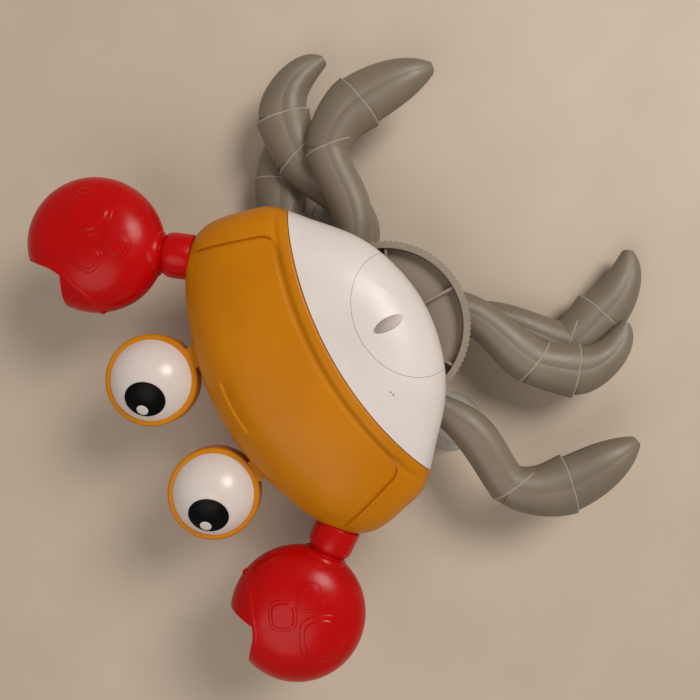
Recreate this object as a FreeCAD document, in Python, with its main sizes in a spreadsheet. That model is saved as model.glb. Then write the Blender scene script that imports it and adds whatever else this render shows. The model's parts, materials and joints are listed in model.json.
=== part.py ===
import FreeCAD, Part
import math
import os
from FreeCAD import Placement, Rotation, Vector

# A crab toy for the bath wall, lying on its back on three suction cups.
# X runs across the crab, Y towards its eyes and Z towards its face.
# The origin is on the axle, at the flat back of the rear base.

doc = FreeCAD.newDocument("crab_figurine")
sheet = doc.addObject("Spreadsheet::Sheet", "sizes")

DRIVING = [
    ("base_thick", 4, "rear base plate, front to back"),
    ("arm_lift", 0.6, "arms of the rear base, behind its round middle"),
    ("base_radius", 30, "rear base, round middle"),
    ("arm_width", 15, "arms of the rear base"),
    ("pad_radius", 10, "round ends of the arms"),
    ("post_radius", 4.5, "fixed post that everything turns on"),
    ("run_gap", 0.05, "radial clearance of a running fit"),
    ("layer_gap", 0.3, "clearance between stacked pieces"),
    ("seam_gap", 0.15, "clearance between shells that meet"),
    ("cup_side", 62, "side cups, distance from the middle"),
    ("cup_drop", 9.5, "side cups, below the axle"),
    ("cup_rise", 60, "top cup, above the axle"),
    ("cup_radius", 16, "suction cup, rim"),
    ("cup_height", 8, "suction cup, rim to base"),
    ("cup_crown", 6, "suction cup, radius at the base"),
    ("cup_lip", 1.2, "suction cup, width of the rim"),
    ("cup_depth", 4.5, "suction cup, depth of the hollow"),
    ("stem_radius", 3, "suction cup, stem"),
    ("layer_thick", 12, "one leg pair, front to back"),
    ("throw", 12, "cam centre from the axle"),
    ("cam_radius", 22.5, "cams"),
    ("hub_wall", 5, "ring of a leg pair round its cam"),
    ("sleeve_side", 13, "square sleeve of the wheel"),
    ("front_phase", 110, "angle of the front cam"),
    ("middle_phase", -10, "angle of the middle cam"),
    ("rear_phase", -130, "angle of the rear cam"),
    ("middle_turn", 20.3, "middle leg pair, turned on its cam"),
    ("rear_turn", 38.4, "rear leg pair, turned on its cam"),
    ("leg_reach", 100, "cam centre to the knee of a leg"),
    ("leg_wall", 2.2, "moulded wall of a leg"),
    ("leg_edge", 4, "straight side of a leg before it crowns"),
    ("cuff", 0.9, "step where one leg segment meets the next"),
    ("wheel_radius", 40, "thumb wheel over the knurl"),
    ("wheel_thick", 8.6, "thumb wheel, front to back"),
    ("rim_wall", 3.4, "thumb wheel, rim"),
    ("web_thick", 2.6, "thumb wheel, disc behind the ribs"),
    ("rib_thick", 1.3, "thumb wheel, ribs"),
    ("hub_radius", 10, "thumb wheel, hub"),
    ("knurl_depth", 0.7, "thumb wheel, depth of the knurl"),
    ("knurl_pitch", 2.6, "thumb wheel, spacing of the knurl"),
    ("body_half", 80.5, "half the width of the shell"),
    ("body_top", 87.7, "top of the shell above the axle"),
    ("body_low", 20.3, "bottom of the belly below the axle"),
    ("dome_centre_share", 0.376, "highest place of the dome, share of the top"),
    ("dome_height", 24, "dome over the parting plane"),
    ("dome_fullness", 4, "domes, power of the rounded profile"),
    ("back_depth", 4, "back shell over the wheel, front to back"),
    ("bulge_depth", 13, "back shell, extra depth under the shoulders"),
    ("shell_wall", 2, "moulded wall of the shells"),
    ("arch_radius", 164, "seam between upper and belly shell, radius"),
    ("arch_top", 29, "seam between upper and belly shell, top"),
    ("rim_width", 4.6, "raised rim along that seam"),
    ("end_rim", 14.5, "end rims of the upper shell, width"),
    ("panel_round", 9, "face panel, rounding of its lower corners"),
    ("rim_step", 1.1, "face panel, depth below the rim"),
    ("apron_half", 30, "belly cover, half width"),
    ("apron_rise", 26, "belly cover, height over its middle"),
    ("apron_y", -12, "belly cover, middle"),
    ("scoop_half", 7.6, "thumb scoop, half length"),
    ("scoop_width", 2.9, "thumb scoop, half width"),
    ("scoop_depth", 1.3, "thumb scoop, depth"),
    ("eye_x", 29.7, "eyes, across"),
    ("eye_out", 19.1, "eyes, beyond the top of the shell"),
    ("eye_radius", 21.2, "eye ring, outside"),
    ("eye_wall", 2.5, "eye ring, wall"),
    ("eye_back", 7, "eye ring, behind the parting plane"),
    ("eye_front", 4.5, "eye ring, before the parting plane"),
    ("eye_floor", 2, "eye ring, floor"),
    ("eyeball_rise", 10, "eyeball, dome over the ring"),
    ("pupil_long", 9.2, "pupil, half length, across its way from the middle"),
    ("pupil_short", 7.9, "pupil, half width"),
    ("pupil_x", -6.8, "pupil from the eye's middle, across"),
    ("pupil_y", 4.8, "pupil from the eye's middle, up"),
    ("pupil_rise", 0.5, "pupil, thickness over the eyeball"),
    ("tab_half", 5, "eye tab, half width"),
    ("tab_root", 12, "eye tab, start below the top of the shell"),
    ("tab_thick", 4, "eye tab, half thickness"),
    ("claw_out", 16.5, "claws, beyond the half width of the shell"),
    ("claw_rise", 12, "claws, beyond the top of the shell"),
    ("claw_radius", 31.4, "claws, radius"),
    ("claw_depth", 17, "claws, half thickness"),
    ("claw_fullness", 2.5, "claws, power of the rounded profile"),
    ("claw_wall", 2.4, "claws, moulded wall"),
    ("wrist_tilt", 53.9, "wrist axis, angle from across"),
    ("wrist_radius", 10.6, "wrist barrel"),
    ("wrist_start", 45, "wrist barrel, shell end from the claw's middle"),
    ("wrist_sink", 4, "wrist barrel, sunk into the claw"),
    ("neck_radius", 6, "wrist neck in the shell"),
    ("neck_length", 6, "wrist neck, length"),
    ("flange_radius", 8.4, "wrist flange inside the shell"),
    ("flange_thick", 2, "wrist flange"),
    ("socket_wall", 2.2, "shell round the wrist neck"),
    ("boss_radius", 3.4, "screw bosses"),
    ("screw_radius", 1.3, "self-tapping screws, shank"),
    ("screw_head", 2.7, "self-tapping screws, head radius"),
    ("head_thick", 1.6, "self-tapping screws, head"),
    ("screw_length", 9, "self-tapping screws, shank length"),
    ("post_bite", 16, "post screw, length in the post"),
    ("upper_boss_inset", 9, "upper shell bosses, in from the half width"),
    ("upper_boss_share", 0.433, "upper shell bosses, share of the top"),
    ("belly_boss_inset", 30.5, "belly shell bosses, in from the half width"),
    ("belly_boss_y", 14, "belly shell bosses, up"),
    ("overrun", 1, "how far a cut runs past what it cuts"),
]
RIB_COUNT = 6
# Shares that only shape a rounded form: how high a leg crowns for its half width, where its arc
# turns, how thin its room may get, and how much of the eye ring's wall its edges are rounded.
CROWN_SHARE = 0.62
EDGE_SHARE = 0.6
TURN_SHARE = math.sqrt(0.5)
THIN_SHARE = 0.3
LOW_SHARE = 0.5
RING_ROUND_SHARE = 0.45
# A knee is a little smaller than the segment that starts in it, so their faces never coincide.
KNEE_SHARE = 0.95

for row, (alias, value, note) in enumerate(DRIVING, 1):
    sheet.set(f"A{row}", note)
    sheet.set(f"B{row}", str(value))
    sheet.setAlias(f"B{row}", alias)
doc.recompute()


def size(alias):
    return float(sheet.get(alias))


# Heights of the stack along Z, as expressions for the document.
REAR_Z = "sizes.base_thick + sizes.layer_gap"
MIDDLE_Z = f"{REAR_Z} + sizes.layer_thick + sizes.layer_gap"
FRONT_Z = f"{MIDDLE_Z} + sizes.layer_thick + sizes.layer_gap"
WHEEL_Z = f"{FRONT_Z} + sizes.layer_thick + sizes.layer_gap"
BACK_Z = f"{WHEEL_Z} + sizes.wheel_thick + sizes.layer_gap"
ARM_THICK = "sizes.base_thick - sizes.arm_lift"

layer_pitch = size("layer_thick") + size("layer_gap")
rear_z = size("base_thick") + size("layer_gap")
middle_z = rear_z + layer_pitch
front_z = middle_z + layer_pitch
wheel_z = front_z + layer_pitch
back_z = wheel_z + size("wheel_thick") + size("layer_gap")
parting_z = back_z + size("back_depth")
apex_z = parting_z + size("dome_height")
above = apex_z + size("overrun")

# Places that follow the shell when its width or its top changes.
dome_centre_y = size("dome_centre_share") * size("body_top")
eye_y = size("body_top") + size("eye_out")
claw_x = size("body_half") + size("claw_out")
claw_y = size("body_top") + size("claw_rise")
upper_boss = size("body_half") - size("upper_boss_inset"), size("upper_boss_share") * size("body_top")
belly_boss = size("body_half") - size("belly_boss_inset"), size("belly_boss_y")

NODES = []


def keep(node):
    """Mark a document object as one of the sub-parts."""
    NODES.append(node)
    return node


def bind(piece, **expressions):
    for name, text in expressions.items():
        piece.setExpression(name, text)
    return piece


def place(piece, x="0", y="0", z="0"):
    for axis, text in zip("xyz", (x, y, z)):
        piece.setExpression(f"Placement.Base.{axis}", text)
    return piece


def cylinder(name, radius, height, x="0", y="0", z="0"):
    piece = doc.addObject("Part::Cylinder", name)
    bind(piece, Radius=radius, Height=height)
    return place(piece, x, y, z)


def box(name, length, width, height, x="0", y="0", z="0"):
    piece = doc.addObject("Part::Box", name)
    bind(piece, Length=length, Width=width, Height=height)
    return place(piece, x, y, z)


def fuse(name, *pieces):
    joined = doc.addObject("Part::MultiFuse", name)
    joined.Shapes = list(pieces)
    joined.Refine = True
    return joined


def cut(name, base, tool):
    left = doc.addObject("Part::Cut", name)
    left.Base = base
    left.Tool = tool
    return left


def feature(name, shape):
    piece = doc.addObject("Part::Feature", name)
    piece.Shape = shape
    return piece


def polar(radius, angle):
    return Vector(radius * math.cos(math.radians(angle)), radius * math.sin(math.radians(angle)), 0)


def disc(radius, low, high, x=0.0, y=0.0):
    return Part.makeCylinder(radius, high - low, Vector(x, y, low))


# Rear base: a round plate with three arms that carry the suction cups, and the fixed post.
# The plate stands a little proud of the arms at the back, so it can rest on a flat board.
cup_places = {
    "left": ("sizes.cup_side", "-sizes.cup_drop"),
    "right": ("-sizes.cup_side", "-sizes.cup_drop"),
    "top": ("0", "sizes.cup_rise"),
}


def arm(name, x, y):
    bar = doc.addObject("Part::Box", f"arm_{name}")
    bind(bar, Length=f"sqrt(({x}) * ({x}) + ({y}) * ({y}))", Width="sizes.arm_width", Height=ARM_THICK)
    way = f"atan2({y}; {x})"
    bar.setExpression("Placement.Rotation.Angle", way)
    side = "sizes.arm_width / 2"
    return place(bar, f"{side} * sin({way})", f"-{side} * cos({way})", "sizes.arm_lift")


base_pieces = [cylinder("base_disc", "sizes.base_radius", "sizes.base_thick")]
stem_holes = []
for side, (x, y) in cup_places.items():
    base_pieces.append(arm(side, x, y))
    base_pieces.append(cylinder(f"pad_{side}", "sizes.pad_radius", ARM_THICK, x, y, "sizes.arm_lift"))
    stem_holes.append(
        cylinder(
            f"stem_hole_{side}",
            "sizes.stem_radius + sizes.run_gap",
            "sizes.base_thick + 2 * sizes.overrun",
            x,
            y,
            "-sizes.overrun",
        )
    )
base_pieces.append(
    cylinder("post", "sizes.post_radius", f"{BACK_Z} + sizes.shell_wall + sizes.layer_gap")
)
stem_holes.append(
    cylinder(
        "post_screw_hole",
        "sizes.screw_radius + sizes.run_gap",
        "sizes.post_bite + 2 * sizes.overrun",
        z=f"{BACK_Z} + sizes.shell_wall + sizes.layer_gap - sizes.post_bite - sizes.overrun",
    )
)
keep(cut("rear_base", fuse("base_solid", *base_pieces), fuse("base_holes", *stem_holes)))


# Suction cups: soft clear cups with a hollow face and a stem in the arm's hole.
def cone(name, low_radius, high_radius, height, x, y, z):
    piece = doc.addObject("Part::Cone", name)
    bind(piece, Radius1=low_radius, Radius2=high_radius, Height=height)
    return place(piece, x, y, z)


def suction_cup(side, x, y):
    foot = "-sizes.cup_height"
    lip = cylinder(f"lip_{side}", "sizes.cup_radius", "sizes.cup_lip", x, y, foot)
    bell_height = "sizes.cup_height + sizes.arm_lift - sizes.cup_lip"
    bell_foot = "sizes.cup_lip + " + foot
    bell = cone(f"bell_{side}", "sizes.cup_radius", "sizes.cup_crown", bell_height, x, y, bell_foot)
    stem = cylinder(f"stem_{side}", "sizes.stem_radius", ARM_THICK, x, y, "sizes.arm_lift")
    room = cone(
        f"room_{side}", "sizes.cup_radius - sizes.cup_lip", "sizes.cup_lip", "sizes.cup_depth", x, y, foot
    )
    keep(cut(f"suction_cup_{side}", fuse(f"cup_solid_{side}", lip, bell, stem), room))


for side, (x, y) in cup_places.items():
    suction_cup(side, x, y)


# Thumb wheel: knurled rim, thin disc with radial ribs, hub and square sleeve.
def knurled_disc(radius, low, high):
    count = round(2 * math.pi * radius / size("knurl_pitch"))
    step = 360 / count
    inner = radius - size("knurl_depth")
    edges = []
    for index in range(count):
        start = polar(inner, index * step)
        crest = polar(radius, (index + 0.5) * step)
        end = polar(inner, (index + 1) * step)
        edges.append(Part.Arc(start, crest, end).toShape())
    face = Part.Face(Part.Wire(edges))
    face.translate(Vector(0, 0, low))
    return face.extrude(Vector(0, 0, high - low))


rim_disc = feature("rim_disc", knurled_disc(size("wheel_radius"), wheel_z, wheel_z + size("wheel_thick")))
rim_room = cylinder(
    "rim_room",
    "sizes.wheel_radius - sizes.rim_wall",
    "sizes.wheel_thick",
    z=f"{WHEEL_Z} + sizes.web_thick",
)
wheel_pieces = [
    cut("rim", rim_disc, rim_room),
    cylinder("wheel_hub", "sizes.hub_radius", "sizes.wheel_thick", z=WHEEL_Z),
    box(
        "sleeve",
        "sizes.sleeve_side",
        "sizes.sleeve_side",
        f"{WHEEL_Z} - ({REAR_Z}) + sizes.web_thick",
        "-sizes.sleeve_side / 2",
        "-sizes.sleeve_side / 2",
        REAR_Z,
    ),
]
for index in range(RIB_COUNT):
    rib = doc.addObject("Part::Box", f"rib_{index + 1}")
    bind(
        rib,
        Length="sizes.wheel_radius - sizes.rim_wall / 2",
        Width="sizes.rib_thick",
        Height="sizes.wheel_thick - sizes.rim_wall / 2",
    )
    way = 360 / RIB_COUNT * (index + 0.5)
    rib.Placement = Placement(Vector(0, 0, wheel_z), Rotation(Vector(0, 0, 1), way))
    wheel_pieces.append(rib)
bore = cylinder(
    "wheel_bore",
    "sizes.post_radius + sizes.run_gap",
    f"{BACK_Z} + sizes.overrun",
)
keep(cut("thumb_wheel", fuse("wheel_solid", *wheel_pieces), bore))


# Cams: three eccentric discs keyed on the wheel's sleeve, a third of a turn apart.
def cam(name, phase, base):
    centre = f"sizes.throw * cos(sizes.{phase} * 1deg)", f"sizes.throw * sin(sizes.{phase} * 1deg)"
    solid = cylinder(f"{name}_disc", "sizes.cam_radius", "sizes.layer_thick", *centre, base)
    room = "(sizes.sleeve_side + 2 * sizes.run_gap)"
    key = box(
        f"{name}_key",
        room,
        room,
        "sizes.layer_thick + 2 * sizes.overrun",
        f"-{room} / 2",
        f"-{room} / 2",
        f"{base} - sizes.overrun",
    )
    keep(cut(name, solid, key))


cam("front_cam", "front_phase", FRONT_Z)
cam("middle_cam", "middle_phase", MIDDLE_Z)
cam("rear_cam", "rear_phase", REAR_Z)

# Leg outlines. Each row is a place on a segment's centre line and its half width there,
# in shares of leg_reach, in the frame of the cam's centre with the pair unturned.
FRONT_LEG_SHARES = [
    [(0.24, -0.09, 0.075), (0.46, -0.175, 0.075), (0.62, -0.245, 0.10), (0.79, -0.265, 0.10), (0.95, -0.285, 0.108)],
    [(0.93, -0.27, 0.098), (1.01, -0.355, 0.115), (1.055, -0.445, 0.133), (1.075, -0.54, 0.146)],
    [(1.075, -0.52, 0.134), (1.08, -0.67, 0.123), (1.07, -0.80, 0.095), (1.05, -0.935, 0.025)],
]
MIDDLE_LEG_SHARES = [
    [(0.235, -0.13, 0.08), (0.42, -0.29, 0.098), (0.60, -0.30, 0.106), (0.80, -0.31, 0.122)],
    [(0.78, -0.30, 0.112), (0.88, -0.35, 0.125), (0.985, -0.415, 0.14)],
    [(0.965, -0.40, 0.127), (1.04, -0.50, 0.108), (1.06, -0.61, 0.085), (1.02, -0.77, 0.022)],
]
REAR_LEG_SHARES = [
    [(0.235, -0.13, 0.08), (0.42, -0.25, 0.095), (0.60, -0.265, 0.10), (0.80, -0.27, 0.118)],
    [(0.80, -0.25, 0.112), (0.86, -0.37, 0.128), (0.905, -0.49, 0.142)],
    [(0.90, -0.47, 0.13), (0.95, -0.62, 0.108), (0.95, -0.74, 0.08), (0.915, -0.855, 0.022)],
]


def leg_section(centre, along, half, crown, low, edge):
    """A closed wire: flat behind, short straight sides and a crowned front."""
    across = Vector(-along.y, along.x, 0) * half
    up = Vector(0, 0, 1)
    left, right = centre + across, centre - across
    edge = min(edge, crown * EDGE_SHARE)
    shoulder = across * TURN_SHARE + up * (edge + (crown - edge) * TURN_SHARE)
    corners = [left + up * low, left + up * (low + edge)]
    ends = [right + up * (low + edge), right + up * low]
    top = centre + up * (low + crown)
    arc_left = Part.Arc(corners[1], centre + up * low + shoulder, top).toShape()
    mirrored = Vector(-shoulder.x, -shoulder.y, shoulder.z)
    arc_right = Part.Arc(top, centre + up * low + mirrored, ends[0]).toShape()
    return Part.Wire(
        [
            Part.LineSegment(corners[0], corners[1]).toShape(),
            arc_left,
            arc_right,
            Part.LineSegment(ends[0], ends[1]).toShape(),
            Part.LineSegment(ends[1], corners[0]).toShape(),
        ]
    )


def leg_size(half_share, thick, inset):
    """Half width and crown height of a leg at a place; inset above zero is the room inside."""
    half = half_share * size("leg_reach")
    crown = min(thick, size("leg_edge") + half * CROWN_SHARE)
    if inset:
        half = max(half - inset, half * THIN_SHARE)
        crown = max(crown - inset, crown * LOW_SHARE) + size("overrun")
    return half, crown


def leg_segment(stations, low, thick, inset):
    """One crowned segment of a leg; inset above zero gives the room inside it."""
    reach = size("leg_reach")
    start = low - (size("overrun") if inset else 0)
    places = [Vector(x * reach, y * reach, 0) for x, y, _ in stations]
    wires = []
    for index, (_, _, half_share) in enumerate(stations):
        before = places[max(index - 1, 0)]
        after = places[min(index + 1, len(places) - 1)]
        along = (after - before).normalize()
        half, crown = leg_size(half_share, thick, inset)
        wires.append(leg_section(places[index], along, half, crown, start, size("leg_edge")))
    return Part.makeLoft(wires, True, False)


def knee(station, low, thick, inset):
    """A crowned round that fills the outside of a bend where a segment starts."""
    x, y, half_share = station
    half, crown = (KNEE_SHARE * part for part in leg_size(half_share, thick, inset))
    start = low - (size("overrun") if inset else 0)
    edge = min(size("leg_edge"), crown * EDGE_SHARE)
    centre = Vector(x, y, 0) * size("leg_reach") + Vector(0, 0, start)
    foot, side = centre + Vector(half, 0, 0), centre + Vector(half, 0, edge)
    turn = centre + Vector(half * TURN_SHARE, 0, edge + (crown - edge) * TURN_SHARE)
    top = centre + Vector(0, 0, crown)
    edges = [
        Part.LineSegment(centre, foot).toShape(),
        Part.LineSegment(foot, side).toShape(),
        Part.Arc(side, turn, top).toShape(),
        Part.LineSegment(top, centre).toShape(),
    ]
    return Part.Face(Part.Wire(edges)).revolve(centre, Vector(0, 0, 1), 360)


def rooted(row):
    """A first segment's row, with its start moved to the middle of the ring round the cam."""
    x, y, half_share = row[0]
    ring_middle = size("cam_radius") + size("run_gap") + size("hub_wall") / 2
    share = ring_middle / (size("leg_reach") * math.hypot(x, y))
    return [(x * share, y * share, half_share)] + row[1:]


def leg(shares, low):
    """A whole leg on the +X side: three stepped segments, open behind."""
    thick = size("layer_thick")
    wall, step = size("leg_wall"), size("cuff")
    first, second, third = rooted(shares[0]), shares[1], shares[2]
    pieces = [leg_segment(row, low, thick - index * step, 0) for index, row in enumerate((first, second, third))]
    knees = [knee(row[0], low, thick - index * step, 0) for index, row in enumerate((second, third), 1)]
    solid = pieces[0].multiFuse(pieces[1:] + knees)
    rows = first[1:], second, third[:-1]
    rooms = [leg_segment(row, low, thick - index * step, wall) for index, row in enumerate(rows)]
    knee_rooms = [knee(row[0], low, thick - index * step, wall) for index, row in enumerate((second, third), 1)]
    return solid.cut(rooms[0].multiFuse(rooms[1:] + knee_rooms))


def leg_pair(name, shares, phase, turn, low):
    """Both legs of a pair with the ring that runs on their cam."""
    ring = disc(size("cam_radius") + size("run_gap") + size("hub_wall"), low, low + size("layer_thick"))
    hole = disc(size("cam_radius") + size("run_gap"), low - size("overrun"), low + layer_pitch)
    left = leg(shares, low)
    right = left.mirror(Vector(), Vector(1, 0, 0))
    solid = ring.multiFuse([left, right]).cut(hole)
    pair = keep(feature(name, solid))
    pair.Placement = Placement(polar(size("throw"), phase), Rotation(Vector(0, 0, 1), turn))


leg_pair("front_legs", FRONT_LEG_SHARES, size("front_phase"), 0, front_z)
leg_pair("middle_legs", MIDDLE_LEG_SHARES, size("middle_phase"), size("middle_turn"), middle_z)
leg_pair("rear_legs", REAR_LEG_SHARES, size("rear_phase"), size("rear_turn"), rear_z)


# Shell outlines, seen from the front. X is a share of body_half; Y is a share of body_top
# over the axle and of body_low under it. Only the +X half is listed, from the top down.
SHELL_SHARES = [
    (0, 1),
    (0.43, 0.943),
    (0.78, 0.816),
    (0.946, 0.696),
    (1, 0.56),
    (0.968, 0.37),
    (0.92, 0.235),
    (0.85, 0.165),
    (0.74, 0.076),
    (0.535, -0.37),
    (0.285, -0.83),
    (0, -1),
]
BULGE_SHARES = [
    (0, 0.975),
    (0.42, 0.918),
    (0.75, 0.79),
    (0.91, 0.67),
    (0.95, 0.58),
    (0.86, 0.50),
    (0.5, 0.49),
    (0, 0.49),
]
# Angles of the sections of a dome, from its foot towards its top, as shares of a quarter turn.
SECTION_SHARES = [0, 0.1, 0.2, 0.32, 0.44, 0.56, 0.68, 0.79, 0.88, 0.95, 0.985]


def outline_points(shares):
    half, top, low = size("body_half"), size("body_top"), size("body_low")
    side = [Vector(x * half, y * (top if y > 0 else low), 0) for x, y in shares]
    mirrored = [Vector(-point.x, point.y, 0) for point in side[-2:0:-1]]
    return side + mirrored


def smooth_face(points):
    curve = Part.BSplineCurve()
    curve.interpolate(Points=points, PeriodicFlag=True)
    return Part.Face(Part.Wire(curve.toShape()))


def shrunk(points, centre, share_x, share_y, level):
    return [
        Vector(centre.x + (p.x - centre.x) * share_x, centre.y + (p.y - centre.y) * share_y, level)
        for p in points
    ]


def pillow(shares, fullness, centre, foot, height, inset=0.0):
    """A closed dome over an outline; a negative height makes it point backwards.

    Fullness is the power of the rounded profile: 2 is an ellipse, more is squarer.
    """
    points = outline_points(shares)
    reach_x = max(p.x for p in points)
    reach_y = max(abs(p.y - centre.y) for p in points)
    narrow_x, narrow_y = 1 - inset / reach_x, 1 - inset / reach_y
    rise = height - math.copysign(inset, height)
    wires = []
    for share in SECTION_SHARES:
        angle = math.radians(90 * share)
        wide = math.cos(angle) ** (2 / fullness)
        level = foot + rise * math.sin(angle)
        ring = shrunk(points, centre, wide * narrow_x, wide * narrow_y, level)
        wires.append(smooth_face(ring).OuterWire)
    return Part.makeLoft(wires, True, False)


def outline(inset=0.0):
    points = outline_points(SHELL_SHARES)
    centre = Vector(0, dome_centre_y, 0)
    share_x = 1 - inset / size("body_half")
    share_y = 1 - inset / (size("body_top") - dome_centre_y)
    return smooth_face(shrunk(points, centre, share_x, share_y, 0))


def prism(face, low, high):
    moved = face.copy()
    moved.translate(Vector(0, 0, low))
    return moved.extrude(Vector(0, 0, high - low))


def rounded(solid, radius, picks):
    edges = [edge for edge in solid.Edges if picks(edge)]
    return solid.makeFillet(radius, edges) if edges else solid


def dome(inset=0.0):
    """The front of the body, solid, over the parting plane."""
    centre = Vector(0, dome_centre_y, 0)
    return pillow(SHELL_SHARES, size("dome_fullness"), centre, parting_z, size("dome_height"), inset)


def upright(edge):
    box_ = edge.BoundBox
    return box_.XLength < 0.01 and box_.YLength < 0.01


def panel_region(grow, low, high):
    """The prism over the face panel: over the arched rim and between the end rims."""
    top = size("body_top") + size("overrun")
    end = size("body_half") - size("end_rim") + grow
    block = Part.makeBox(2 * end, top, high - low, Vector(-end, 0, low))
    radius = size("arch_radius") + size("rim_width") - grow
    centre_y = size("arch_top") - size("arch_radius")
    block = block.cut(disc(radius, low - size("overrun"), high + size("overrun"), 0, centre_y))

    def low_corner(edge):
        return upright(edge) and edge.BoundBox.YMin < size("arch_top")

    return rounded(block, size("panel_round"), low_corner)


def boss(x, y):
    return disc(size("boss_radius"), back_z + size("shell_wall"), apex_z, x, y)


def screw_hole(x, y):
    reach = size("screw_length") + size("overrun")
    return disc(size("screw_radius") + size("run_gap"), back_z - size("overrun"), back_z + reach, x, y)


outer, inner = dome(), dome(size("shell_wall"))
sunk_outer = dome(size("rim_step"))
sunk_inner = dome(size("rim_step") + size("shell_wall"))
arch_centre_y = size("arch_top") - size("arch_radius")
below_arch = disc(size("arch_radius") - size("seam_gap"), 0, above, 0, arch_centre_y)
under_arch = disc(size("arch_radius"), 0, above, 0, arch_centre_y)
region = panel_region(0, 0, above)
region_room = panel_region(size("seam_gap"), 0, above)

wrist_way = polar(1, size("wrist_tilt"))


def flip_way(way, sign):
    return Vector(way.x * sign, way.y, way.z)


def along_wrist(sign, distance):
    """A point on the wrist's axis, measured back from the claw's middle."""
    middle = Vector(sign * claw_x, claw_y, parting_z)
    return middle - flip_way(wrist_way, sign) * distance


def wrist_rod(sign, radius, start, end):
    """A round bar on the wrist's axis, between two distances from the claw's middle."""
    return Part.makeCylinder(radius, start - end, along_wrist(sign, start), flip_way(wrist_way, sign))


neck_start = size("wrist_start") + size("neck_length")
flange_start = neck_start + size("flange_thick")


def wrist_socket(sign, grow=0.0):
    """The round housing in the shell that holds the barrel's end, the neck and its floor."""
    outside = size("wrist_radius") + size("layer_gap") + size("socket_wall") + grow
    return wrist_rod(sign, outside, neck_start - size("seam_gap"), size("claw_radius"))


def wrist_room(sign):
    gap = size("layer_gap")
    neck = wrist_rod(sign, size("neck_radius") + size("run_gap"), neck_start + size("overrun"), size("wrist_start") - size("overrun"))
    flange = wrist_rod(sign, size("flange_radius") + gap, flange_start + gap, neck_start - size("seam_gap"))
    barrel = wrist_rod(sign, size("wrist_radius") + gap, size("wrist_start") + gap, 0)
    return neck.multiFuse([flange, barrel])


def front_half(solid):
    reach = 2 * size("body_top")
    block = Part.makeBox(2 * reach, 2 * reach, reach, Vector(-reach, -reach, parting_z + size("seam_gap")))
    return solid.common(block)


def rear_half(solid):
    reach = 2 * size("body_top")
    block = Part.makeBox(2 * reach, 2 * reach, reach, Vector(-reach, -reach, parting_z - reach))
    return solid.common(block)


def tab_room(sign, grow):
    low_y = size("body_top") - size("tab_root")
    half = size("tab_half") + grow
    thick = size("tab_thick") + grow
    return Part.makeBox(
        2 * half,
        eye_y - low_y,
        2 * thick,
        Vector(sign * size("eye_x") - half, low_y - grow, parting_z - thick),
    )


shell = outer.cut(inner)
sockets = [front_half(wrist_socket(sign)).common(outer) for sign in (1, -1)]
for sign in (1, -1):
    region = region.cut(wrist_socket(sign, size("seam_gap")))
    region_room = region_room.cut(wrist_socket(sign))
bosses = [boss(sign * upper_boss[0], upper_boss[1]) for sign in (1, -1)]
bosses = [front_half(piece).common(outer) for piece in bosses]
upper = shell.cut(under_arch).cut(region_room).multiFuse(sockets + bosses)
for sign in (1, -1):
    upper = upper.cut(wrist_room(sign)).cut(tab_room(sign, size("seam_gap")))
    upper = upper.cut(screw_hole(sign * upper_boss[0], upper_boss[1]))
keep(feature("upper_shell", front_half(upper)))

panel = sunk_outer.cut(sunk_inner).common(region)
for sign in (1, -1):
    panel = panel.cut(wrist_room(sign)).cut(tab_room(sign, size("seam_gap")))
keep(feature("face_panel", front_half(panel)))


# Belly shell with the apron-shaped cover let into it.
def apron(grow):
    oval = Part.Ellipse(Vector(), size("apron_half") + grow, size("apron_rise") + grow)
    face = Part.Face(Part.Wire(oval.toShape()))
    face.translate(Vector(0, size("apron_y"), parting_z + size("overrun")))
    return face.extrude(Vector(0, 0, apex_z))


belly = shell.common(below_arch)
belly_bosses = [boss(sign * belly_boss[0], belly_boss[1]) for sign in (1, -1)]
belly = belly.multiFuse([front_half(piece).common(outer) for piece in belly_bosses])
for sign in (1, -1):
    belly = belly.cut(screw_hole(sign * belly_boss[0], belly_boss[1]))
keep(feature("belly_shell", front_half(belly.cut(apron(size("seam_gap"))))))

scoop = Part.makeSphere(1)
stretch = FreeCAD.Matrix()
stretch.scale(size("scoop_width"), size("scoop_half"), size("scoop_depth"))
scoop = scoop.transformGeometry(stretch)


def front_height(y):
    """Where the dome's front is on the middle plane, at a height of the crab."""
    ray = Part.makeLine(Vector(0, y, parting_z + size("shell_wall")), Vector(0, y, above))
    return outer.common(ray).BoundBox.ZMax


scoop_rise = front_height(size("scoop_half")) - front_height(-size("scoop_half"))
scoop_slope = math.degrees(math.atan2(scoop_rise, 2 * size("scoop_half")))
scoop.rotate(Vector(), Vector(1, 0, 0), scoop_slope)
scoop.translate(Vector(0, 0, front_height(0)))
keep(feature("belly_cover", front_half(shell.common(below_arch).common(apron(0)).cut(scoop))))


# Back shell: a flat tray over the wheel with a deeper bulge under the shoulders.
def back_solid(inset=0.0):
    tray = prism(outline(inset), back_z + inset, parting_z)
    points = outline_points(BULGE_SHARES)
    centre = Vector(0, (max(p.y for p in points) + min(p.y for p in points)) / 2, 0)
    depth = size("back_depth") + size("bulge_depth")
    return tray.fuse(pillow(BULGE_SHARES, size("dome_fullness"), centre, parting_z, -depth, inset))


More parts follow.
